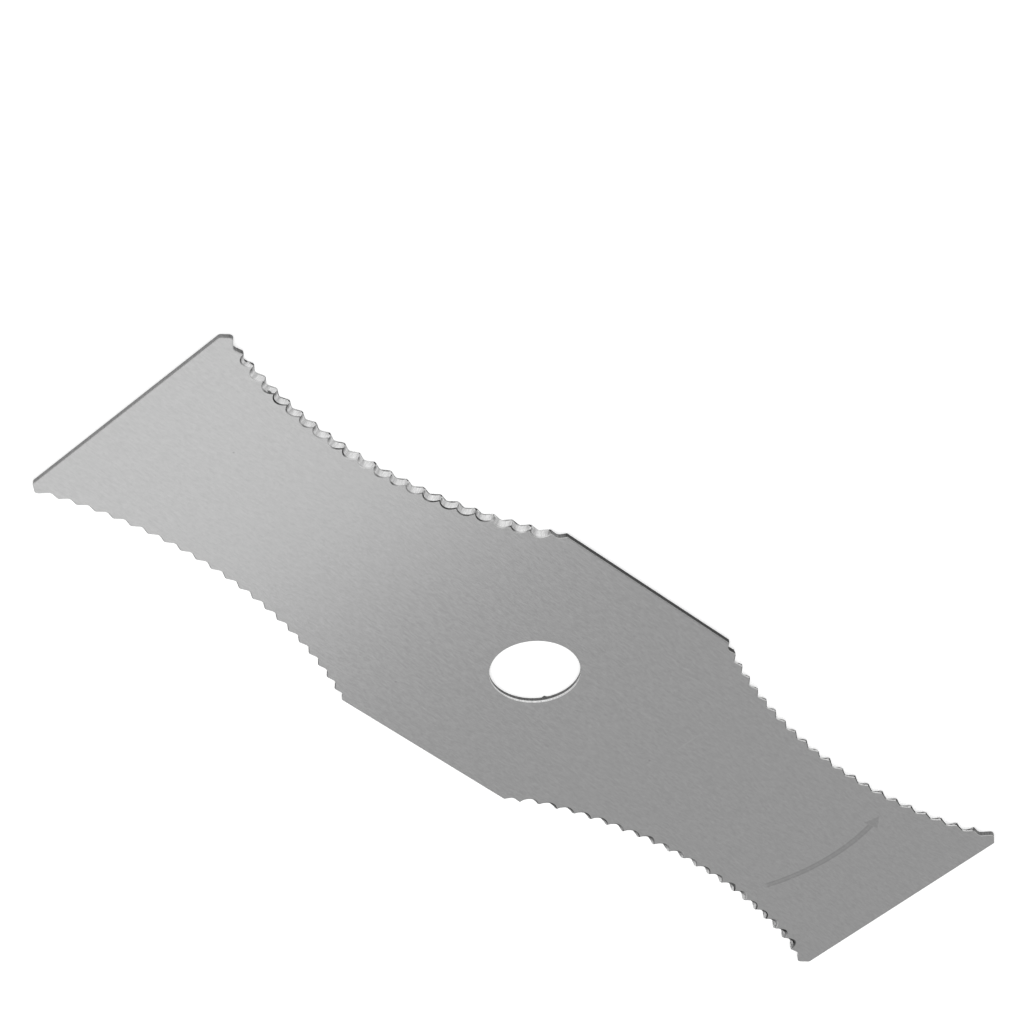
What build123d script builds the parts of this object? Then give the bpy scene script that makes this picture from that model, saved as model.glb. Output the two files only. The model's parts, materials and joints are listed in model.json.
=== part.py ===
from build123d import *
from math import acos, asin, cos, degrees, radians, sin, tan
import os

# Grass trimmer blade: one flat steel plate with a bore, two wings and four hollow, toothed edges.
# The bore axis is Z, the wings point along X, and the blade lies on its lower face at z = 0.
# It is made as such a blade is: a blank with a wavy outline is cut from plate, and then a round
# wheel grinds a slanted flute into each gullet, from one face only. A half turn about X, Y or Z
# brings the blade back onto itself, so it cuts the same way with either face up.

# Plate
length = 304.8
width = 88.9
thickness = 1.6
bore_diameter = 25.4

# Hollow edges: each follows an arc through its tooth crests, deepest at the waist of its wing
edge_radius = 150.0
waist_width = 58.5
waist_offset = 98.0

# Teeth, as the blank has them: round gullets and crests, joined by straight flanks
tooth_pitch = 5.485
gullet_depth = 1.15
gullet_radius = 1.4
crest_radius = 1.0

# Nose at each outer corner, past the last gullet
nose_length = 5.75
nose_flank_length = 3.5
nose_flank_angle = 47.0
nose_chamfer_angle = 40.0
nose_radius = 1.1
end_corner_radius = 0.8

# Ground flutes: how the wheel stands to the plate, and the wall that it leaves at the cutting edge
flute_radius = 3.7
flute_angle = 45.0
cutting_land = 0.3
plain_gullets = 1

# How far a cutting shape reaches past the plate
overrun = 10.0

# Places along an edge, as angles about its arc's centre, counted from the waist towards the end
edge_centre = Vector(waist_offset, waist_width / 2 + edge_radius)
pitch_angle = tooth_pitch / edge_radius
gullet_line = edge_radius + gullet_depth
last_angle = asin((length / 2 - nose_length - waist_offset) / gullet_line)
middle_angle = -acos((edge_centre.Y - width / 2) / gullet_line)
gullet_count = int((last_angle - middle_angle) / pitch_angle) + 1
gullet_angles = [last_angle - number * pitch_angle for number in range(gullet_count)]

# How far the centres of the gullets and of the crests lie from the edge arc's centre
half_pitch = pitch_angle / 2
gullet_reach = gullet_line - gullet_radius
crest_reach = edge_radius + crest_radius


def inward(angle):
    """Direction from the edge arc's centre into the plate."""
    return Vector(sin(angle), -cos(angle))


def around(radius, angle):
    """Point at a distance from the edge arc's centre."""
    return edge_centre + inward(angle) * radius


def flank(angle, side):
    """Ends of the straight flank from the gullet at an angle to the crest on one side of it.

    The flank is the line that touches both circles and crosses between them.
    """
    gullet_centre = around(gullet_reach, angle)
    crest_centre = around(crest_reach, angle + side * half_pitch)
    across = crest_centre - gullet_centre
    tilt = degrees(acos((gullet_radius + crest_radius) / across.length))
    normal = across.normalized().rotate(Axis.Z, -side * tilt)
    return gullet_centre + normal * gullet_radius, crest_centre - normal * crest_radius


def bite():
    """Sketch of what is cut from one quarter of the bar: the wave of teeth, then the nose."""
    nose_slope = radians(nose_flank_angle)
    nose_start = around(gullet_reach, last_angle) + inward(nose_slope) * gullet_radius
    nose_peak = nose_start + Vector(cos(nose_slope), sin(nose_slope)) * nose_flank_length
    outer_x = length / 2 + overrun
    chamfer_end = Vector(outer_x, nose_peak.Y - (outer_x - nose_peak.X) * tan(radians(nose_chamfer_angle)))

    outline = [Line(chamfer_end, nose_peak), Line(nose_peak, nose_start)]
    start = nose_start
    for angle in gullet_angles:
        gullet_end, crest_start = flank(angle, -1)
        next_start, crest_end = flank(angle - pitch_angle, 1)
        outline.append(ThreePointArc(start, around(gullet_line, angle), gullet_end))
        outline.append(Line(gullet_end, crest_start))
        outline.append(ThreePointArc(crest_start, around(edge_radius, angle - half_pitch), crest_end))
        outline.append(Line(crest_end, next_start))
        start = next_start

    run_out = around(edge_radius, middle_angle - pitch_angle) + Vector(0, overrun)
    outline.append(Polyline(start, run_out, Vector(outer_x, run_out.Y), chamfer_end))
    return make_face(outline), nose_peak


def flute(angle):
    """Round cutter that grinds the gullet at an angle, deepest at the lower face of the plate."""
    slope = radians(flute_angle)
    into_plate = inward(angle)
    up = Vector(0, 0, 1)
    groove = around(gullet_line, angle) + up * (thickness / 2 - cutting_land)
    axis = into_plate * cos(slope) - up * sin(slope)
    offset = into_plate * -sin(slope) - up * cos(slope)
    place = Plane(origin=groove + offset * flute_radius, z_dir=axis)
    return place * Cylinder(flute_radius, 2 * (flute_radius + 2 * thickness))


# The four quarters, and the half turns that carry one edge onto the others
quarter_turns = [Rot(0, 0, 0), Rot(180, 0, 0), Rot(0, 180, 0), Rot(0, 0, 180)]

# Blank: the bar, its four hollow edges, and rounded noses
quarter_bite, nose_peak = bite()
blank = Rectangle(length, width) - [turn * quarter_bite for turn in quarter_turns]
nose_drop = (length / 2 - nose_peak.X) * tan(radians(nose_chamfer_angle))
end_corner = Vector(length / 2, nose_peak.Y - nose_drop)
for corner, radius in ((nose_peak, nose_radius), (end_corner, end_corner_radius)):
    places = [turn * Vertex(*corner) for turn in quarter_turns]
    sharp = [blank.vertices().sort_by_distance(place)[0] for place in places]
    blank = fillet(sharp, radius)

# Plate about its middle plane, with its bore
blade = extrude(blank, thickness / 2, both=True) - Cylinder(bore_diameter / 2, 2 * thickness)

# Flutes: every second one, then those between, because neighbours overlap
ground = gullet_angles[plain_gullets:gullet_count - plain_gullets]
for first in (0, 1):
    blade -= [turn * flute(angle) for turn in quarter_turns for angle in ground[first::2]]

blade = Pos(0, 0, thickness / 2) * blade

os.makedirs("parts", exist_ok=True)
export_step(blade, "parts/blade.step")
print("gullets on an edge", gullet_count)
print("nose half width", round(nose_peak.Y, 2), "end half width", round(end_corner.Y, 2))
print("solids", len(blade.solids()), "volume", round(blade.volume, 1))
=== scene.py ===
# %% [markdown]
# # A grass trimmer blade
# The real blade is one flat steel plate: two wings, a bore in the middle, and four hollow edges with
# a wave of teeth. It could be dressed up from the solid as it comes, but its looks live along its
# edges: a sheared wall, a flute ground into each gullet, the roll-over of a punched hole. So the plate
# is worked out again here as a surface with those edges in it, at the place and size of the solid.

# %% Load the solid and keep its box
import json
from math import acos, asin, atan2, cos, degrees, hypot, pi, radians, sin, tan

import bpy
import numpy as np
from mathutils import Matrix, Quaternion, Vector


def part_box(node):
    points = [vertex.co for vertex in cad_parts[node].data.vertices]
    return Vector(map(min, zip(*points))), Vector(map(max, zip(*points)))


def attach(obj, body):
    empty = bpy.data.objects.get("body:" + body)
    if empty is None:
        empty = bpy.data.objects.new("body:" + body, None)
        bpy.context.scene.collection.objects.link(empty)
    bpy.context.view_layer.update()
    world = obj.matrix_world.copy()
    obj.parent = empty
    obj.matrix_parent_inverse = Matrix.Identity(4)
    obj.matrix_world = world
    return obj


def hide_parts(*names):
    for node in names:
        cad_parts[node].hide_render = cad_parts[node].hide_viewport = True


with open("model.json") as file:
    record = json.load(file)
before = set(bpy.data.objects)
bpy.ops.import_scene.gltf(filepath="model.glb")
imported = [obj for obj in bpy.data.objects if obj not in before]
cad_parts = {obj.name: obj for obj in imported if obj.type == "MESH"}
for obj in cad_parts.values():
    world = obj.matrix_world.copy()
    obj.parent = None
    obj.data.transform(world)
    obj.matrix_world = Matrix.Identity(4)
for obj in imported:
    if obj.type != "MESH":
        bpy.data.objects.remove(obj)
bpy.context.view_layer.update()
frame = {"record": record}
low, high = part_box("blade")
length, width, thickness = high - low
mounts = {mount["name"]: mount for mount in frame["record"]["mounts"]}
mm = 0.001
bore_radius = mounts["bore"]["dims"]["r_mm"] * mm
plate_size = [round(size / mm, 2) for size in (length, width, thickness)]
print("plate", plate_size, "mm, bore radius", bore_radius / mm, "mm")

# %% [markdown]
# ## The hollow edge and its wave of teeth
# Each edge follows an arc that touches the tooth crests. Along that arc the blank is sheared to a wave:
# a round gullet, a straight flank, a round crest. A sine curve would be quicker, but its crests are
# too pointed and its flanks too soft. Two circles and the line that touches both, crossing between
# them, give the real wave, and the depth below the arc is then a plain function of the way along it.

# %% The wave as a depth below the crest arc
edge_radius = 150.0 * mm
waist_width = 58.5 * mm
waist_offset = 98.0 * mm
tooth_pitch = 5.485 * mm
gullet_depth = 1.15 * mm
gullet_radius = 1.4 * mm
crest_radius = 1.0 * mm

circle_rise = crest_radius + gullet_radius - gullet_depth
circle_gap = hypot(tooth_pitch / 2, circle_rise)
lean_of_circles = atan2(circle_rise, tooth_pitch / 2)
flank_normal = lean_of_circles + acos((gullet_radius + crest_radius) / circle_gap)
gullet_touch = gullet_radius * cos(flank_normal)
crest_touch = tooth_pitch / 2 - crest_radius * cos(flank_normal)


def blank_wave(along):
    """Depth of the sheared outline below the crest arc, at distances along it from a gullet.

    Near a gullet it is the gullet's circle, near a crest the crest's circle, and between them
    it falls evenly along the line that touches both.
    """
    half = tooth_pitch / 2
    off = np.abs((along + half) % tooth_pitch - half)
    gullet = np.sqrt(gullet_radius**2 - np.minimum(off, gullet_touch) ** 2)
    flank = gullet_radius * sin(flank_normal) - (off - gullet_touch) / tan(flank_normal)
    crest = crest_radius - np.sqrt(crest_radius**2 - np.minimum(half - off, crest_radius) ** 2)
    below_arc = gullet_depth - gullet_radius
    return np.where(off > crest_touch, crest, below_arc + np.where(off > gullet_touch, flank, gullet))


one_tooth = blank_wave(np.linspace(0, tooth_pitch, 97))
print("flank slope", round(90 - degrees(flank_normal), 1), "degrees, wave depth",
      round(float(np.ptp(one_tooth)) / mm, 3), "mm")

# %% [markdown]
# ## One quarter of the outline
# The blade looks the same after a half turn about any of its three axes, so one quarter of the outline
# is enough. It runs from the middle of an end, round the nose, along the teeth to the middle corner and
# on to the middle of the long side. Straight stretches need few points, the teeth many.

# %% Stretches of the outline
nose_length = 5.75 * mm
nose_flank_length = 3.5 * mm
nose_slope = radians(47)
chamfer_slope = radians(40)
nose_radius = 1.1 * mm
end_corner_radius = 0.8 * mm
straight_points = 5
corner_points = 9
nose_points = 15
gullet_points = 8

edge_centre = np.array([waist_offset, waist_width / 2 + edge_radius])
gullet_line = edge_radius + gullet_depth
last_angle = asin((length / 2 - nose_length - waist_offset) / gullet_line)


def inward(angle):
    """Directions from the edge arc's centre into the plate, an angle of 0 pointing across the blade."""
    return np.stack([np.sin(angle), -np.cos(angle)], axis=-1)


def heading(angle):
    """Direction at an angle from the blade's long axis."""
    return np.array([cos(angle), sin(angle)])


def rounded_corner(corner, arriving, leaving, radius, count):
    """Arc that rounds a corner turned to the left, between the headings it is met and left at.

    The arc's centre is set back from the corner by radius times the tangent of half the turn, and
    then out to the left by the radius.
    """
    start = corner - heading(arriving) * radius * tan((leaving - arriving) / 2)
    centre = start + heading(arriving + pi / 2) * radius
    return centre + radius * inward(np.linspace(arriving, leaving, count))


gullet_centre = edge_centre + inward(last_angle) * (gullet_line - gullet_radius)
nose_foot = gullet_centre + inward(nose_slope) * gullet_radius
nose_peak = nose_foot + heading(nose_slope) * nose_flank_length
chamfer_drop = (length / 2 - nose_peak[0]) * tan(chamfer_slope)
end_corner = np.array([length / 2, nose_peak[1] - chamfer_drop])

end_steps = np.linspace(0, end_corner[1] - end_corner_radius, straight_points)
end_stretch = np.stack([np.full(straight_points, length / 2), end_steps], -1)
chamfer_heading = pi - chamfer_slope
end_turn = rounded_corner(end_corner, pi / 2, chamfer_heading, end_corner_radius, corner_points)
nose_turn = rounded_corner(nose_peak, chamfer_heading, pi + nose_slope, nose_radius, nose_points)
gullet_angles = np.linspace(nose_slope, last_angle, gullet_points)[:-1]
nose_gullet = gullet_centre + gullet_radius * inward(gullet_angles)
print("nose peak", (nose_peak / mm).round(2), "end corner", (end_corner / mm).round(2))

# %% The toothed stretch, the long side, and the whole quarter
tooth_columns = 24
most_teeth = 24
step_angle = tooth_pitch / edge_radius / tooth_columns
angles = last_angle - np.arange(most_teeth * tooth_columns) * step_angle
reach = edge_radius + blank_wave((angles - last_angle) * edge_radius)
toothed = edge_centre + inward(angles) * reach[:, None]
inside = int(np.argmax(toothed[:, 1] > width / 2))
before, after = toothed[inside - 1], toothed[inside]
share = (width / 2 - before[1]) / (after[1] - before[1])
middle_corner = before + share * (after - before)

side_steps = np.linspace(middle_corner[0], 0, straight_points)
long_side = np.stack([side_steps, np.full(straight_points, width / 2)], -1)

stretches = [end_stretch, end_turn, nose_turn, nose_gullet, toothed[:inside], long_side]
outline = np.concatenate(stretches)
first_tooth = len(outline) - len(long_side) - inside
is_toothed = np.zeros(len(outline), bool)
is_toothed[first_tooth:first_tooth + inside] = True
way_in = np.zeros_like(outline)
way_in[is_toothed] = inward(angles[:inside])
along = np.zeros(len(outline))
along[is_toothed] = (last_angle - angles[:inside]) * edge_radius
gullet_count = int(along.max() / tooth_pitch) + 1
print("quarter outline", len(outline), "points,", gullet_count, "gullets, corner",
      (middle_corner / mm).round(2))

# %% [markdown]
# ## The ground flutes
# A round wheel, held at 45 degrees, grinds each gullet from one face until only a thin land of the
# sheared wall is left at the cutting edge. Cutting a cylinder away would need a boolean for every
# tooth. It is simpler to ask how deep the wheel has gone at each point of the edge: at 45 degrees the
# flute reaches as much further into the plate as it rises through it. The wheel was set by hand, so
# each flute is a little deeper or shallower and stands a little off its gullet. On one of the four
# edges the first pass was fed in less, and its flute stays shallow.

# %% How deep the flutes go at each column
flute_radius = 3.7 * mm
wheel_slant = radians(45)
cutting_land = 0.3 * mm
hand_depth = 0.07 * mm
hand_limit = 0.1 * mm
hand_shift = 0.12 * mm
first_pass_shortfall = 0.5 * mm
far_away = 1.0
dice = np.random.default_rng(11)


def crease_height(quarter_dice, shortfall):
    """Height above the flat face at which the flute leaves the sheared wall, for each column.

    The wheel's circle, seen along its own axis, is stretched by the slant. A flute's depth at the
    flat face is the gullet's less the land, less the sag of that circle off the flute's middle.
    The crease is where the deepest flute meets the wave, and it is far away where nothing is ground.
    """
    gullets = np.arange(1, gullet_count - 1)
    middles = gullets * tooth_pitch + quarter_dice.normal(0, hand_shift, len(gullets))
    uneven = quarter_dice.normal(0, hand_depth, len(gullets)).clip(-hand_limit, hand_limit)
    depths = gullet_depth - cutting_land + uneven
    depths[0] -= shortfall
    off = (along[:, None] - middles) / flute_radius
    sag = flute_radius / sin(wheel_slant) * (1 - np.sqrt(1 - np.minimum(np.abs(off), 1) ** 2))
    deepest = np.where(np.abs(off) < 1, depths - sag, -far_away).max(axis=1)
    return np.where(is_toothed, np.maximum(blank_wave(along) - deepest, 0), far_away)


sample = crease_height(np.random.default_rng(0), first_pass_shortfall)
print("land at the cutting edge", (sample[is_toothed].min() / mm).round(2), "mm and up")

# %% [markdown]
# ## The wall from face to face
# Round the whole outline the wall is one profile carried along a path: a slightly rounded keen edge, the
# land, the slanted flute, and a small lip where the flute runs out on the face. The lip could be left
# sharp, but then there would be no steel between face and flute to mirror the dark far side of the room.
# That mirror image is what draws a thin dark line round each scallop. On one edge the wheel had dulled,
# and seven of its flutes carry a heavy burr, so their lips are wider. Where the plate is only sheared,
# the same rows stay upright and end in the soft roll-over that a shear leaves.

# %% The lip of each flute
flute_lip = 0.26 * mm
heavy_lip = 0.6 * mm
heavy_flutes = (1, 2, 3, 6, 7, 11, 13)
teeth_along = along / tooth_pitch


def lip_width(heavy):
    """Width of the lip at each column, with the numbers of the flutes that are heavily burred.

    A heavy lip swells from the plain width at the crests to the full one at its gullet, with the
    square of the cosine of half a turn for each tooth.
    """
    is_heavy = np.isin(np.rint(teeth_along), heavy)
    return flute_lip + (heavy_lip - flute_lip) * is_heavy * np.cos(pi * teeth_along) ** 2


widest = lip_width(heavy_flutes).max()
print("lips from", round(flute_lip / mm, 2), "to", round(float(widest) / mm, 2), "mm wide")

# %% Rows of the wall
keen_edge = 0.18 * mm
sheared_edge = 0.16 * mm
least_land = 0.3 * mm
lip_steps = np.array([0, 0.33, 0.67, 1])[:, None]
flute_steps = np.array([0, 0.33, 0.67])[:, None]


def wall_rows(crease, lip, ground):
    """Height and inset of each row at each column, from the flat face to the one that is ground.

    On the flute a row moves in as far as it stands above the crease. At either face the rows
    follow a parabola that leaves the wall at its slope and ends flat on the face.
    """
    slope = np.where(ground, wheel_slant, pi / 2)
    lower_lip = np.where(ground, keen_edge, sheared_edge)
    upper_lip = np.where(ground, lip, sheared_edge)
    away = (1 - lip_steps) ** 2

    bend = np.clip(crease, least_land, thickness - 2 * lip)
    flute_top = thickness - upper_lip * np.sin(slope)
    flute = bend + flute_steps * (flute_top - bend)
    upper = thickness - upper_lip * np.sin(slope) * away
    height = np.concatenate([lower_lip * lip_steps**2, [(lower_lip + bend) / 2], flute, upper])

    corner = np.where(ground, thickness - crease, 0)
    to_flute = np.maximum(flute - crease, 0)
    to_lip = corner + upper_lip * (lip_steps**2 - np.cos(slope) * away)
    inset = np.concatenate([lower_lip * away, [0 * bend], to_flute, to_lip])
    return height, inset


sample_lip = lip_width(heavy_flutes)
sample_ground = sample < thickness - sample_lip
sample_inset = wall_rows(sample, sample_lip, sample_ground)[1]
print("rows", len(sample_inset), "deepest inset", round(float(sample_inset.max()) / mm, 2), "mm")

# %% [markdown]
# ## Four quarters make the wall
# The wings mirror each other, and the flutes of opposite edges of a wing open to opposite faces, so each
# quarter is flipped along and across, and turned upside down where its flutes open below. One quarter
# could be copied three times, but then the marks of the hand would repeat, so each is worked out
# afresh. Every column also keeps a few facts that the finishes need later.

# %% The wall of each quarter, joined to one ring
thin_land = 0.65 * mm
outer_start = 0.08
outer_share = 0.42
tangent = np.gradient(outline, axis=0)
left = np.stack([-tangent[:, 1], tangent[:, 0]], -1) / np.linalg.norm(tangent, axis=1)[:, None]


def quarter_wall(flip_u, flip_v):
    """Wall of one quarter as rows by columns by three, rows from the lower face to the upper one.

    Each point is the outline's point moved inwards by its inset: along the wheel's way on the flutes,
    square to the outline elsewhere. The facts of a column are whether it is ground, has a thin land,
    stands on the flank that faces the blade's end, and opens below.
    """
    ground_below = flip_u == flip_v
    crease = crease_height(dice, first_pass_shortfall if flip_u < flip_v else 0)
    lip = lip_width(heavy_flutes if flip_u > flip_v else ())
    ground = crease < thickness - lip
    height, inset = wall_rows(crease, lip, ground)

    wheel_way = np.where(ground[:, None], way_in, left)
    on_flat_edge = np.arange(len(inset))[:, None, None] < len(lip_steps)
    flat = outline + inset[..., None] * np.where(on_flat_edge, left, wheel_way)
    up = thickness - height if ground_below else height
    placed = np.stack([flat[..., 0] * flip_u, flat[..., 1] * flip_v, up], axis=-1)

    outer_flank = ground & ((teeth_along - outer_start) % 1 < outer_share)
    opens = np.full(len(outline), ground_below)
    facts = np.stack([ground, crease < thin_land, outer_flank, opens])
    rises = slice(None, None, -1 if ground_below else 1)
    runs = slice(None, None, 1 if ground_below else -1)
    return placed[rises, runs], facts[:, runs]


quarters = [quarter_wall(u, v) for u, v in ((1, 1), (-1, 1), (-1, -1), (1, -1))]
wall = np.concatenate([placed[:, :-1] for placed, facts in quarters], axis=1)
column_facts = np.concatenate([facts[:, :-1] for placed, facts in quarters], axis=1)
is_ground, is_thin, is_outer, opens_below = column_facts
row_count, column_count = wall.shape[:2]
print("wall", row_count, "rows by", column_count, "columns,", int(is_ground.sum()), "are ground")

# %% [markdown]
# ## The punched bore
# A punch bends the steel in at the face it enters, burnishes the top third of the wall, and then the
# rest breaks away rough and a little wider. That gives the bright rim and the dark wall below it. The
# punch leaned a little, so the roll-over is wider on one side. The bore could be a plain hole with a
# bevel. Here it is a circle carried down that profile, and a small nib of torn steel hangs at its lower
# edge.

# %% The bore's wall
roll_over = 0.15 * mm
roll_lean = 0.6
roll_side = radians(-30)
roll_depth = 0.3 * mm
burnish_depth = 0.5 * mm
break_out = 0.12 * mm
nib_angle = radians(-32.7)
nib_height = 0.65 * mm
nib_width = 0.5 * mm
nib_growth = 3
nib_delay = 1.6
bore_columns = 240
depth_steps = np.array([0, 0.05, 0.14, 0.3, 0.5, 0.54, 0.75, 1.0, 1.2, 1.4, 1.52, 1.6]) * mm


def bore_wall(directions):
    """Bore's wall as rows by columns by three, rows going down, for directions round the axis.

    Radius is the bore's, plus a quarter circle at the rolled edge, plus a slow flare where the steel
    broke away, less a bell curve round the nib that grows towards the lower edge.
    """
    depth = depth_steps[:, None] * thickness / depth_steps.max()
    rolled = roll_over * (1 + roll_lean * np.cos(directions - roll_side))
    roll = rolled * (1 - np.sqrt(1 - np.clip(1 - depth / roll_depth, 0, 1) ** 2))
    broken = np.clip((depth - burnish_depth) / (thickness - burnish_depth), 0, 1)
    swing = (directions - nib_angle + pi) % (2 * pi) - pi
    bell = nib_height * np.exp(-((swing * bore_radius / nib_width) ** 2))
    nib = bell * np.clip(nib_growth * broken - nib_delay, 0, 1)
    radius = bore_radius + roll + break_out * np.sqrt(broken) - nib
    down = np.broadcast_to(thickness - depth, radius.shape)
    x, y = radius * np.cos(directions), radius * np.sin(directions)
    return np.stack([x, y, down], axis=-1), depth[:, 0]


bore, bore_depth = bore_wall(np.arange(bore_columns) * 2 * pi / bore_columns)
narrowest = float(np.linalg.norm(bore[..., :2], axis=-1).min())
print("bore", len(bore), "rows by", bore_columns, "columns, narrowest",
      round(narrowest / mm, 2), "mm from the axis")

# %% [markdown]
# ## One closed skin
# The wall and the bore are two tubes. The faces of the plate are flat, so they need no points of their
# own: each is two flat polygons that meet on the centre line, one on either side of the bore. Ruled
# strips would do as well, but strips can fold over where the edge jogs, and polygons cannot.
# The grinding and shearing marks run across the edge, whichever way it is heading, so the tubes carry a
# map: one coordinate is the way round, the other is the height, both in metres.

# %% Tubes and faces of the skin
def tube(grid, first):
    """Quads between the rows of a closed tube of points, and the place of their corners on the map.

    Points are numbered on from the first one. The map is the way round the lowest row, and the height.
    """
    rows, columns = grid.shape[:2]
    number = first + np.arange(rows * columns).reshape(rows, columns)
    number = np.concatenate([number, number[:, :1]], axis=1)
    closed = np.concatenate([grid, grid[:, :1]], axis=1)
    steps = np.linalg.norm(np.diff(closed[0, :, :2], axis=0), axis=1)
    way = np.broadcast_to(np.concatenate([[0], np.cumsum(steps)]), number.shape)
    chart = np.stack([way, closed[..., 2]], axis=-1)
    here, beyond = slice(None, -1), slice(1, None)
    places = [(here, here), (here, beyond), (beyond, beyond), (beyond, here)]
    quads = np.stack([number[place] for place in places], axis=-1).reshape(-1, 4)
    return quads, np.stack([chart[place] for place in places], axis=2).reshape(-1, 2)


points = np.concatenate([wall.reshape(-1, 3), bore.reshape(-1, 3)])
bore_start = row_count * column_count
wall_quads, wall_chart = tube(wall, 0)
bore_quads, bore_chart = tube(bore, bore_start)
quads = np.concatenate([wall_quads, bore_quads])

outer = np.arange(column_count + 1) % column_count
inner = bore_start + np.arange(bore_columns + 1) % bore_columns
upper_ring, lower_ring = (row_count - 1) * column_count, (len(bore) - 1) * bore_columns
faces = []
for half in (0, 1):
    outer_half = outer[half * column_count // 2:][:column_count // 2 + 1]
    inner_half = inner[half * bore_columns // 2:][:bore_columns // 2 + 1][::-1]
    faces.append(np.concatenate([upper_ring + outer_half, inner_half]))
    faces.append(np.concatenate([outer_half, lower_ring + inner_half])[::-1])

print("skin", len(points), "points,", len(quads), "quads,", len(faces), "flat polygons")

# %% [markdown]
# ## Which steel shows where
# The edge shows four kinds of steel. The wheel leaves bright steel in the flutes and along the keen
# edge, and burr on the lips and on lands that it nearly ground through. The shear leaves torn walls, and
# rolls the brushed face over at its upper edge. On the flank of a tooth that faces the blade's end the
# keen edge is given the dark torn finish, and on edges ground from below the thin land is too: this is
# painted shade, for the shaded floor beside the gullet that such a flank mirrors. Masks in one material
# could part these, but the rows of the wall already do, so each face of the mesh is simply given its
# finish.

# %% Which finish each face has
face_finish, wall_finish, flute_finish, burr_finish = range(4)
edge_bands = len(lip_steps) - 1
land_bands = 2
flute_start = edge_bands + land_bands
lip_start = flute_start + len(flute_steps)

bands = np.arange(row_count - 1)[:, None]
from_flat = np.where(opens_below, row_count - 2 - bands, bands)
between_ground = is_ground & np.roll(is_ground, -1)
on_flute = between_ground & (from_flat >= flute_start) & (from_flat < lip_start)
# Painted shade: on the flank that faces the blade's end, the keen edge and the thin land get the dark
# wall finish.
on_painted_shade_flank = is_outer & opens_below
on_thin_land = between_ground & is_thin & ~on_painted_shade_flank & (from_flat < flute_start)
on_keen_edge = between_ground & ~is_outer & (from_flat < edge_bands)
on_lip = between_ground & (from_flat >= lip_start)
on_roll = ~between_ground & (bands >= row_count - 1 - edge_bands)
wall_finishes = np.select([on_flute | on_keen_edge, on_roll, on_lip | on_thin_land],
                          [flute_finish, face_finish, burr_finish], wall_finish)
burnished = bore_depth[1:] <= burnish_depth
bore_finishes = np.repeat(np.where(burnished, flute_finish, wall_finish), bore_columns)
flat_finishes = np.full(len(faces), face_finish)
finishes = np.concatenate([wall_finishes.ravel(), bore_finishes, flat_finishes])
print("faces of each finish", np.bincount(finishes).tolist())

# %% Make the mesh and lay the map on it
sharp_from = radians(40)
face_chart = points[np.concatenate(faces)][:, :2]
strip_map = np.concatenate([wall_chart, bore_chart, face_chart]).astype(np.float32)
plate_mesh = bpy.data.meshes.new("blade_plate")
plate_mesh.from_pydata(points, [], quads.tolist() + [face.tolist() for face in faces])
plate_mesh.polygons.foreach_set("material_index", finishes.astype(np.int32))
plate_mesh.uv_layers.new(name="strip").data.foreach_set("uv", strip_map.ravel())
plate_mesh.set_sharp_from_angle(angle=sharp_from)
plate_mesh.polygons.foreach_set("use_smooth", np.arange(len(finishes)) < len(quads))
plate_mesh.update()
blade = bpy.data.objects.new("blade_plate", plate_mesh)
bpy.context.scene.collection.objects.link(blade)
loop_edges = np.empty(len(plate_mesh.loops), np.int32)
plate_mesh.loops.foreach_get("edge_index", loop_edges)
open_edges = int((np.bincount(loop_edges) != 2).sum())
print("mesh", len(plate_mesh.vertices), "points; edges not shared by two faces:", open_edges)

# %% [markdown]
# ## Helpers for the finishes
# A finish is a small graph of nodes. It could be wired by hand in the editor, but written down it can be
# read and run again. A few helpers keep the graphs short: they add a node and fill its inputs, do one
# step of arithmetic, make a soft step, a grey or a relief, and start a new finish on the blade.

# %% Node helpers
def fill(tree, target, inputs):
    """Fills a node's inputs by name: a value is set, a socket is joined."""
    for name, value in inputs.items():
        if isinstance(value, bpy.types.NodeSocket):
            tree.links.new(value, target.inputs[name])
        else:
            target.inputs[name].default_value = value


def node(tree, kind, inputs=None, **settings):
    """Adds a node with its properties set and its inputs filled."""
    made = tree.nodes.new(kind)
    for name, value in settings.items():
        setattr(made, name, value)
    fill(tree, made, inputs or {})
    return made


def calc(tree, operation, *values):
    """One step of arithmetic on values or sockets; returns its output socket."""
    return node(tree, "ShaderNodeMath", dict(enumerate(values)), operation=operation).outputs[0]


def fade(tree, value, start, end, first=0.0, last=1.0):
    """A smooth step: first up to start, last from end on."""
    inputs = {"Value": value, "From Min": start, "From Max": end, "To Min": first, "To Max": last}
    return node(tree, "ShaderNodeMapRange", inputs, interpolation_type="SMOOTHSTEP").outputs[0]


def grey(shade):
    """A grey as a colour."""
    return (shade, shade, shade, 1)


def greys(tree, value, *stops):
    """A ramp of greys: each stop is a position and a shade."""
    ramp = node(tree, "ShaderNodeValToRGB", {"Fac": value})
    elements = ramp.color_ramp.elements
    for number, (position, shade) in enumerate(stops):
        stop = elements[number] if number < 2 else elements.new(position)
        stop.position = position
        stop.color = grey(shade)
    return ramp.outputs["Color"]


def relief(tree, height, strength, distance):
    """Small bumps that follow a height; returns the normal they bend."""
    inputs = {"Strength": strength, "Distance": distance, "Height": height}
    return node(tree, "ShaderNodeBump", inputs).outputs["Normal"]


def finish_tree(name):
    """A new material's node tree and its shader, added to the blade's slots."""
    material = bpy.data.materials.new(name)
    material.use_nodes = True
    blade.data.materials.append(material)
    print("finish", name)
    return material.node_tree, material.node_tree.nodes["Principled BSDF"]


helpers = (fill, node, calc, fade, grey, greys, relief, finish_tree)
print("helpers", [helper.__name__ for helper in helpers])

# %% [markdown]
# ## Lines left by a tool
# Brushing, grinding and shearing all leave lines: long one way, fine the other, with stronger lines
# among weaker ones. A wave texture would make them too even. One node group makes them from two
# stretched noises, and each finish places it with its own run and spacing.

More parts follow.
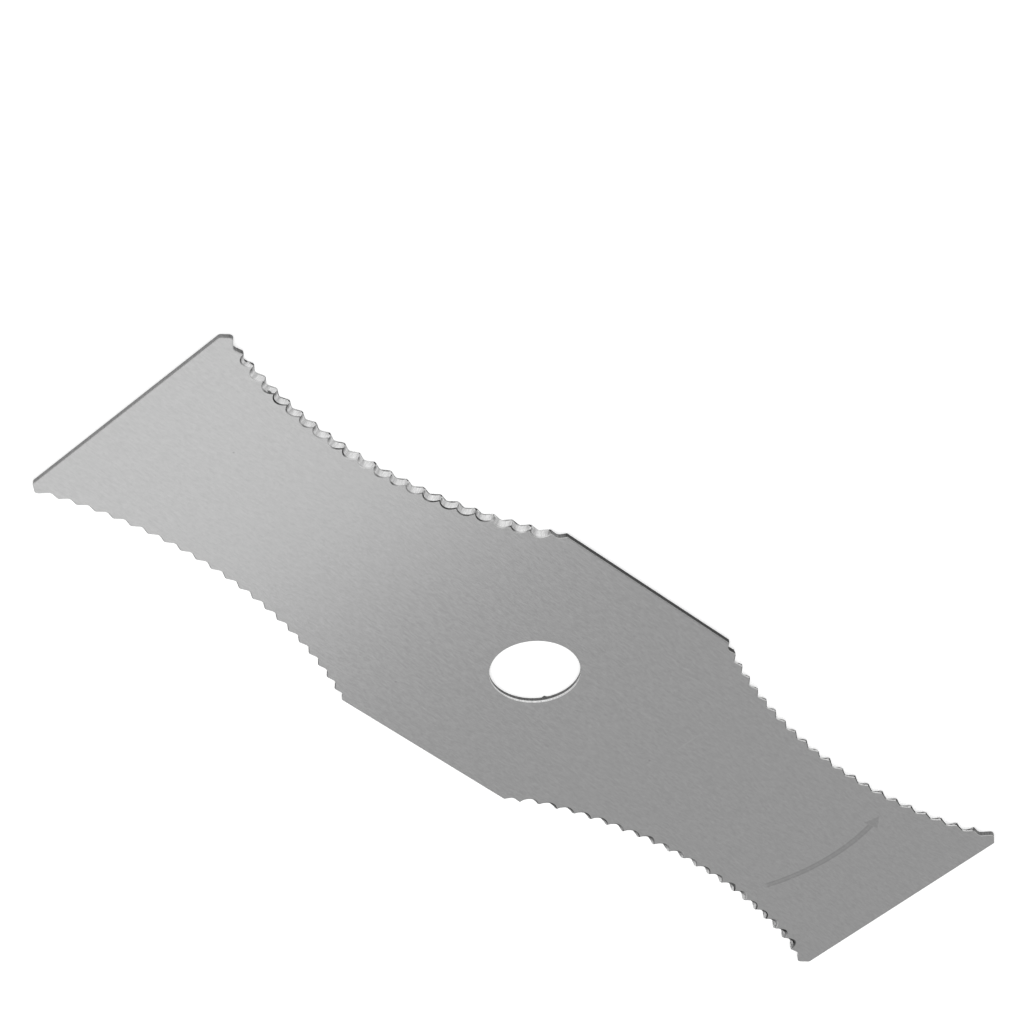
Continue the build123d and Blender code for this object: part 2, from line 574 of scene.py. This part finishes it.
# %% The shared group of tool lines
strong_share = 0.75
broad_run, broad_spacing = 2.6, 4.5
strong_detail, broad_detail = 3.0, 2.0
noise_roughness = 0.6
faintest, fullest = 0.28, 0.72

tool_lines = bpy.data.node_groups.new("tool_lines", "ShaderNodeTree")
tool_lines.interface.new_socket("Place", in_out="INPUT", socket_type="NodeSocketVector")
for socket_name in ("Run", "Spacing"):
    tool_lines.interface.new_socket(socket_name, in_out="INPUT", socket_type="NodeSocketFloat")
tool_lines.interface.new_socket("Lines", in_out="OUTPUT", socket_type="NodeSocketFloat")


def stretched_noise(tree, place, run, spacing, detail):
    """Noise whose grains are one run long on X and one spacing wide on Y and Z."""
    split = node(tree, "ShaderNodeSeparateXYZ", {0: place})
    sizes = (run, spacing, spacing)
    scaled = [calc(tree, "DIVIDE", split.outputs[axis], size) for axis, size in enumerate(sizes)]
    spot = node(tree, "ShaderNodeCombineXYZ", dict(enumerate(scaled))).outputs[0]
    inputs = {"Vector": spot, "Scale": 1.0, "Detail": detail, "Roughness": noise_roughness}
    return node(tree, "ShaderNodeTexNoise", inputs).outputs[0]


group_in = node(tool_lines, "NodeGroupInput").outputs
place, run, spacing = (group_in[name] for name in ("Place", "Run", "Spacing"))
strong = stretched_noise(tool_lines, place, run, spacing, strong_detail)
longer = calc(tool_lines, "MULTIPLY", run, broad_run)
wider = calc(tool_lines, "MULTIPLY", spacing, broad_spacing)
broad = stretched_noise(tool_lines, place, longer, wider, broad_detail)
weaker = calc(tool_lines, "MULTIPLY", broad, 1 - strong_share)
both = calc(tool_lines, "MULTIPLY_ADD", strong, strong_share, weaker)
node(tool_lines, "NodeGroupOutput", {"Lines": fade(tool_lines, both, faintest, fullest)})


def lines(tree, place, run, spacing):
    """Places the group of tool lines in a finish and returns its value."""
    inputs = {"Place": place, "Run": run, "Spacing": spacing}
    return node(tree, "ShaderNodeGroup", inputs, node_tree=tool_lines).outputs["Lines"]


print("group", tool_lines.name, "with", len(tool_lines.nodes), "nodes")

# %% [markdown]
# ## The etched arrow
# A curved arrow for the turning direction is etched near one end of the upper face: only a shade darker
# and duller than the steel, and darkest along the rims of its shaft. It could be a thin piece of its
# own, but an etching this thin has no shape. So it is drawn in the material, from its distance to an
# arc.

# %% The arrow's mask
arrow_centre = (57.0 * mm, 2.9 * mm)
arrow_radius = 64.2 * mm
arrow_tail = radians(-21.6)
arrow_neck = radians(13.6)
arrow_tip = radians(17.6)
shaft_width = 1.9 * mm
rim_from, rim_to = shaft_width * 0.1, shaft_width * 0.4
head_width = 4.8 * mm
etch_blur = 0.4 * mm
etch_fill = 0.6
end_blur = etch_blur / arrow_radius


def etched_arrow(tree, place):
    """Mask of the arrow: a band along the arc from tail to neck, and a head that narrows to the tip."""
    split = node(tree, "ShaderNodeSeparateXYZ", {0: place})
    right = calc(tree, "SUBTRACT", split.outputs[0], arrow_centre[0])
    up = calc(tree, "SUBTRACT", split.outputs[1], arrow_centre[1])
    turned = calc(tree, "ARCTAN2", up, right)
    squares = calc(tree, "MULTIPLY_ADD", right, right, calc(tree, "MULTIPLY", up, up))
    off = calc(tree, "ABSOLUTE", calc(tree, "SUBTRACT", calc(tree, "SQRT", squares), arrow_radius))
    past_tail = fade(tree, turned, arrow_tail - end_blur, arrow_tail + end_blur)
    past_neck = fade(tree, turned, arrow_neck - end_blur, arrow_neck + end_blur)
    in_band = fade(tree, off, (shaft_width + etch_blur) / 2, (shaft_width - etch_blur) / 2)
    rimmed = fade(tree, off, rim_from, rim_to, etch_fill, 1.0)
    between = calc(tree, "SUBTRACT", past_tail, past_neck)
    shaft = calc(tree, "MULTIPLY", calc(tree, "MULTIPLY", in_band, rimmed), between)
    narrowing = head_width / 2 / (arrow_tip - arrow_neck)
    head_half = calc(tree, "MULTIPLY", calc(tree, "SUBTRACT", arrow_tip, turned), narrowing)
    in_head = fade(tree, calc(tree, "SUBTRACT", off, head_half), etch_blur / 2, -etch_blur / 2)
    head = calc(tree, "MULTIPLY", calc(tree, "MULTIPLY", past_neck, in_head), etch_fill)
    return calc(tree, "MAXIMUM", shaft, head)


print("arrow from", round(arrow_tail, 3), "to", round(arrow_tip, 3), "radians on its arc")

# %% [markdown]
# ## A scratch and a few pits
# A blade that has been handled is not spotless: there is one pale scratch across the marked wing, and a
# few dark pits where rust has started. A noise could scatter them, but then they could not be placed.
# Each is a spot in the material, stretched for the scratch.

# %% Spots in a finish
scratch_middle, scratch_half = (53.5 * mm, 8.0 * mm), (0.25 * mm, 8.0 * mm)
pits = [((51 * mm, -5 * mm), 0.45 * mm),
        ((-26 * mm, -29 * mm), 0.4 * mm),
        ((-121 * mm, 8 * mm), 0.4 * mm)]


def soft_spot(tree, place, middle, half_sizes):
    """Mask of a spot: 1 at its middle, fading to 0 at the rim of an ellipse, right through the plate.

    It fades with the sum of the squares of the ways off along X and Y, each over its half size.
    """
    split = node(tree, "ShaderNodeSeparateXYZ", {0: place})
    offs = [calc(tree, "SUBTRACT", split.outputs[axis], middle[axis]) for axis in (0, 1)]
    shares = [calc(tree, "DIVIDE", off, half_size) for off, half_size in zip(offs, half_sizes)]
    squares = [calc(tree, "MULTIPLY", off_share, off_share) for off_share in shares]
    return fade(tree, calc(tree, "ADD", *squares), 1.0, 0.0)


print("one scratch and", len(pits), "pits")

# %% [markdown]
# ## The brushed faces
# The sheet was brushed along its length, a few degrees off the blade's axis, so the faces are satin with
# short, faint streaks. An anisotropic shader would stretch the gloss but show no streaks, so the lines
# are drawn, in the colour, the roughness and a very low relief.

# %% The face finish
grain_turn = radians(3)
grain_run, grain_spacing = 1.5 * mm, 0.19 * mm
grain_share = 0.64
mottle_scale, mottle_detail = 900.0, 2.0
top_from, top_to = thickness * 0.9, thickness * 0.95
arrow_shade, scratch_shade, pit_shade = -0.85, 0.3, -0.9
darkest_mark, palest_mark = -0.85, 1.45
face_roughness, grain_roughness, etch_roughness = 0.18, 0.05, 0.05
grain_relief, grain_height = 0.04, 0.01 * mm

face_tree, face_shader = finish_tree("brushed_face")
spot = node(face_tree, "ShaderNodeTexCoord").outputs["Object"]
turned = {"Vector": spot, "Rotation": (0, 0, grain_turn)}
brushed_way = node(face_tree, "ShaderNodeMapping", turned).outputs[0]
grain = lines(face_tree, brushed_way, grain_run, grain_spacing)
fine_noise = {"Vector": spot, "Scale": mottle_scale, "Detail": mottle_detail}
mottle = node(face_tree, "ShaderNodeTexNoise", fine_noise).outputs[0]
height = node(face_tree, "ShaderNodeSeparateXYZ", {0: spot}).outputs[2]
on_top = fade(face_tree, height, top_from, top_to)
arrow = calc(face_tree, "MULTIPLY", on_top, etched_arrow(face_tree, spot))
scored = soft_spot(face_tree, spot, scratch_middle, scratch_half)
pitted = 0.0
for middle, radius in pits:
    pitted = calc(face_tree, "ADD", pitted, soft_spot(face_tree, spot, middle, (radius, radius)))

softened = calc(face_tree, "MULTIPLY", mottle, 1 - grain_share)
marked = calc(face_tree, "MULTIPLY_ADD", grain, grain_share, softened)
marked = calc(face_tree, "MULTIPLY_ADD", arrow, arrow_shade, marked)
for mask, shade in ((scored, scratch_shade), (pitted, pit_shade)):
    top_mask = calc(face_tree, "MULTIPLY", on_top, mask)
    marked = calc(face_tree, "MULTIPLY_ADD", top_mask, shade, marked)
evened = fade(face_tree, marked, darkest_mark, palest_mark)
etched_dull = calc(face_tree, "MULTIPLY_ADD", arrow, etch_roughness, face_roughness)
fill(face_tree, face_shader, {
    "Metallic": 1.0,
    "Base Color": greys(face_tree, evened, (0.0, 0.355), (1.0, 0.568)),
    "Roughness": calc(face_tree, "MULTIPLY_ADD", grain, grain_roughness, etched_dull),
    "Normal": relief(face_tree, grain, grain_relief, grain_height)})
print("grain turned", round(grain_turn, 3), "radians from the long axis")

# %% [markdown]
# ## The sheared walls
# Shearing tears the steel, so the walls are dark and rough, with tear marks from face to face. The
# long sides are the sheet's old slit edges and the darkest. Towards the noses and the ends the walls are
# painted paler: painted light, standing in for the light the end walls catch from the room and lifting
# the shade that falls in the first gullets. The bore is paler steel, and one gullet beside a middle
# corner was only touched by the wheel. One material serves them all, because these places can be told
# by where they are on the blade. The marks use the strip map, so that they cross the edge.

# %% The wall finish
tear_run, tear_spacing = 1.6 * mm, 0.14 * mm
tear_share = 0.4
# Painted light: the walls are painted paler towards the noses and the ends, for the light the end walls
# catch and against the shade in the first gullets.
nose_from, nose_to, nose_lightening = length / 2 - 12 * mm, length / 2 - 6 * mm, 0.7
end_from, end_to, end_lightening = length / 2 - 2 * mm, length / 2 - 0.5 * mm, 0.2
bore_from, bore_to, bore_clean = 2 * bore_radius, 1.5 * bore_radius, 0.55
touched_middle = (-middle_corner[0] - 2.4 * mm, middle_corner[1] - 0.8 * mm)
touched_half, touched_clean = (3.0 * mm, 3.0 * mm), 0.9
wall_roughness, tear_roughness = 0.42, 0.15
tear_relief, tear_height = 0.4, 0.03 * mm


def across_edge(tree):
    """The strip map given a quarter turn, so that lines run from face to face."""
    strip = node(tree, "ShaderNodeUVMap", uv_map="strip").outputs[0]
    turned = {"Vector": strip, "Rotation": (0, 0, pi / 2)}
    return node(tree, "ShaderNodeMapping", turned).outputs[0]


wall_tree, wall_shader = finish_tree("sheared_wall")
tears = lines(wall_tree, across_edge(wall_tree), tear_run, tear_spacing)
spot = node(wall_tree, "ShaderNodeTexCoord").outputs["Object"]
out_along = node(wall_tree, "ShaderNodeSeparateXYZ", {0: spot}).outputs[0]
out_along = calc(wall_tree, "ABSOLUTE", out_along)
# Painted light: the wall tone grows paler towards the noses and both ends.
nose_painted_light = fade(wall_tree, out_along, nose_from, nose_to, 0.0, nose_lightening)
end_painted_light = fade(wall_tree, out_along, end_from, end_to, 0.0, end_lightening)
ends_painted_light = calc(wall_tree, "ADD", nose_painted_light, end_painted_light)
from_axis = node(wall_tree, "ShaderNodeVectorMath", {0: spot}, operation="LENGTH").outputs["Value"]
punched = fade(wall_tree, from_axis, bore_from, bore_to, 0.0, bore_clean)
touched = soft_spot(wall_tree, spot, touched_middle, touched_half)
touched = calc(wall_tree, "MULTIPLY", touched, touched_clean)
cleaner_and_lit = calc(wall_tree, "MAXIMUM", calc(wall_tree, "MAXIMUM", ends_painted_light, punched), touched)
torn = calc(wall_tree, "MULTIPLY", tears, tear_share)
wall_tone_and_light = calc(wall_tree, "MULTIPLY_ADD", cleaner_and_lit, 1 - tear_share, torn)
fill(wall_tree, wall_shader, {
    "Metallic": 1.0,
    "Base Color": greys(wall_tree, wall_tone_and_light, (0.0, 0.03), (0.4, 0.07), (1.0, 0.36)),
    "Roughness": calc(wall_tree, "MULTIPLY_ADD", tears, tear_roughness, wall_roughness),
    "Normal": relief(wall_tree, tears, tear_relief, tear_height)})
print("walls are cleaner from", round(nose_from / mm, 1), "mm out")

# %% [markdown]
# ## The ground flutes' steel
# The flutes come straight from the wheel and stay the brightest steel on the blade, apart from a burnt
# patch where the wheel stood still in one of them. At a glancing look the wheel's own ridges hide the
# mirror. Those ridges are too fine to build, so the flutes are given less of the shine that smooth steel
# gains there, and the shader's edge tint says how much.

# %% The flute finish
mark_run, mark_spacing = 1.0 * mm, 0.3 * mm
mark_share = 0.5
burnt_middle, burnt_half = (-128.8 * mm, 30.75 * mm), (1.4 * mm, 0.4 * mm)
flute_tint = 0.08
flute_roughness, mark_roughness = 0.22, 0.08
mark_relief, mark_height = 0.2, 0.01 * mm

flute_tree, flute_shader = finish_tree("ground_flute")
wheel_marks = lines(flute_tree, across_edge(flute_tree), mark_run, mark_spacing)
spot = node(flute_tree, "ShaderNodeTexCoord").outputs["Object"]
burnt = soft_spot(flute_tree, spot, burnt_middle, burnt_half)
bright = calc(flute_tree, "MULTIPLY_ADD", wheel_marks, mark_share, 1 - mark_share)
bright = calc(flute_tree, "SUBTRACT", bright, burnt)
fill(flute_tree, flute_shader, {
    "Metallic": 1.0,
    "Specular Tint": grey(flute_tint),
    "Base Color": greys(flute_tree, bright, (0.0, 0.10), (0.5, 0.54), (1.0, 0.86)),
    "Roughness": calc(flute_tree, "MULTIPLY_ADD", wheel_marks, mark_roughness, flute_roughness),
    "Normal": relief(flute_tree, wheel_marks, mark_relief, mark_height)})
print("wheel marks", round(mark_spacing / mm, 2), "mm apart")

# %% [markdown]
# ## The burr
# Where the wheel runs out it leaves a burr, dark and ragged in one place and bright in the next.
# Building every crumb of it would take far more points than the blade has, so a coarse noise shades
# the lips.

# %% The burr at the lips of the flutes
ragged_scale, ragged_detail = 170.0, 3.0
burr_roughness = 0.3
burr_tint = 0.12

burr_tree, burr_shader = finish_tree("burred_lip")
spot = node(burr_tree, "ShaderNodeTexCoord").outputs["Object"]
coarse_noise = {"Vector": spot, "Scale": ragged_scale, "Detail": ragged_detail}
ragged = node(burr_tree, "ShaderNodeTexNoise", coarse_noise).outputs[0]
fill(burr_tree, burr_shader, {
    "Metallic": 1.0,
    "Specular Tint": grey(burr_tint),
    "Base Color": greys(burr_tree, ragged, (0.38, 0.06), (0.62, 0.62)),
    "Roughness": burr_roughness})
print("burr shaded by noise of", round(1 / ragged_scale / mm, 1), "mm")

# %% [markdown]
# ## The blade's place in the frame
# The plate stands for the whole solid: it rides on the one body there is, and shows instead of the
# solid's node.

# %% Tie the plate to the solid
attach(blade, "root")
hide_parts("blade")
print("finishes on the blade", [finish.name for finish in blade.data.materials])

# %% [markdown]
# ## Floor and light
# The blade lies on white paper. Flat metal shows what stands around it, so the light is built as a
# picture for the steel to mirror: a grey room that is dark low down, with one bright side, a second one
# low over the floor, and a level panel overhead. A single lamp would leave most of the steel black. The
# slanted flutes mirror the two bright sides. The edge of the panel is mirrored across the left wing, and
# makes the wing fade from light to darker grey.

# %% White floor
floor_reach = 12.0
floor_drop = 0.05 * mm
paper_shade = 0.93
paper_glow = 0.4
floor_mesh = bpy.data.meshes.new("floor")
corners = np.array([(-1, -1), (1, -1), (1, 1), (-1, 1)]) * floor_reach
floor_mesh.from_pydata(np.column_stack([corners, np.full(4, -floor_drop)]), [], [(0, 1, 2, 3)])
floor = bpy.data.objects.new("floor", floor_mesh)
bpy.context.scene.collection.objects.link(floor)

paper = bpy.data.materials.new("white_paper")
paper.use_nodes = True
paper_tree = paper.node_tree
paper_tree.nodes.remove(paper_tree.nodes["Principled BSDF"])
ray = node(paper_tree, "ShaderNodeLightPath").outputs
mirrored = calc(paper_tree, "MAXIMUM", ray["Is Glossy Ray"], ray["Is Transmission Ray"])
seen = calc(paper_tree, "MAXIMUM", ray["Is Camera Ray"], mirrored)
glowing = calc(paper_tree, "MULTIPLY", seen, paper_glow)
lit = node(paper_tree, "ShaderNodeEmission", {"Strength": glowing}).outputs[0]
sheet = node(paper_tree, "ShaderNodeBsdfDiffuse", {"Color": grey(paper_shade)}).outputs[0]
whole = node(paper_tree, "ShaderNodeAddShader", {0: sheet, 1: lit}).outputs[0]
fill(paper_tree, paper_tree.nodes["Material Output"], {"Surface": whole})
floor_mesh.materials.append(paper)
print("floor", 2 * floor_reach, "m wide,", floor_drop / mm, "mm below the blade")

# %% The room
bright_way, bright_strength = (-0.45, 0.78, 0.43), 0.45
bright_from, bright_to = 0.25, 0.95
low_way, low_strength = (0.969, 0.242, 0.048), 0.55
low_from, low_to = 0.8, 0.97
world = bpy.data.worlds.new("grey_room")
bpy.context.scene.world = world
world.use_nodes = True
room_tree = world.node_tree
look = node(room_tree, "ShaderNodeTexCoord").outputs["Generated"]
rise = node(room_tree, "ShaderNodeSeparateXYZ", {0: look}).outputs[2]
room_grey = greys(room_tree, rise, (0.0, 0.10), (0.12, 0.14), (0.35, 0.53), (1.0, 0.68))


def glow(way, start, end, strength):
    """Light from one side of the room: it grows as the look turns towards that side."""
    facing = node(room_tree, "ShaderNodeVectorMath", {0: look, 1: way}, operation="DOT_PRODUCT")
    return fade(room_tree, facing.outputs["Value"], start, end, 0.0, strength)


bright_side = glow(bright_way, bright_from, bright_to, bright_strength)
low_side = glow(low_way, low_from, low_to, low_strength)
room_light = calc(room_tree, "ADD", calc(room_tree, "ADD", bright_side, low_side), room_grey)
fill(room_tree, room_tree.nodes["Background"], {"Strength": room_light, "Color": grey(1)})
print("room with bright sides towards", bright_way, "and", low_way)

# %% The panel of light
panel_place = (-0.048, -0.38, 0.5)
panel_wide, panel_deep = 0.73, 0.75
panel_radiance = 0.52
panel_lamp = bpy.data.lights.new("wing_panel", "AREA")
panel_lamp.shape = "RECTANGLE"
panel_lamp.size, panel_lamp.size_y = panel_wide, panel_deep
panel_lamp.energy = pi * panel_wide * panel_deep * panel_radiance
panel = bpy.data.objects.new("wing_panel", panel_lamp)
panel.location = panel_place
bpy.context.scene.collection.objects.link(panel)
print("panel gives", round(panel_lamp.energy, 2), "W straight down")

# %% [markdown]
# ## The camera
# The photograph looks down at about 42 degrees through a long lens, and it stands on its head: the near
# side of the blade is at the top. So the camera is aimed first and then rolled about its own line of
# sight. Turning the blade instead would take it out of its frame.

# %% Camera
camera_place = Vector((-774.9, 711.8, 943.7)) * mm
camera_aim = Vector((-49.5, 40.84, 0.8)) * mm
camera_roll = radians(176.45)
lens_data = bpy.data.cameras.new("camera")
lens_data.lens = 178.23
lens_data.sensor_width = 36.0
camera = bpy.data.objects.new("camera", lens_data)
camera.location = camera_place
camera.rotation_mode = "QUATERNION"
aimed = (camera_aim - camera_place).to_track_quat("-Z", "Y")
camera.rotation_quaternion = aimed @ Quaternion((0, 0, 1), camera_roll)
bpy.context.scene.collection.objects.link(camera)
bpy.context.scene.camera = camera
bpy.context.scene.view_settings.view_transform = "Standard"
print("camera", round((camera_aim - camera_place).length, 3), "m from its aim")
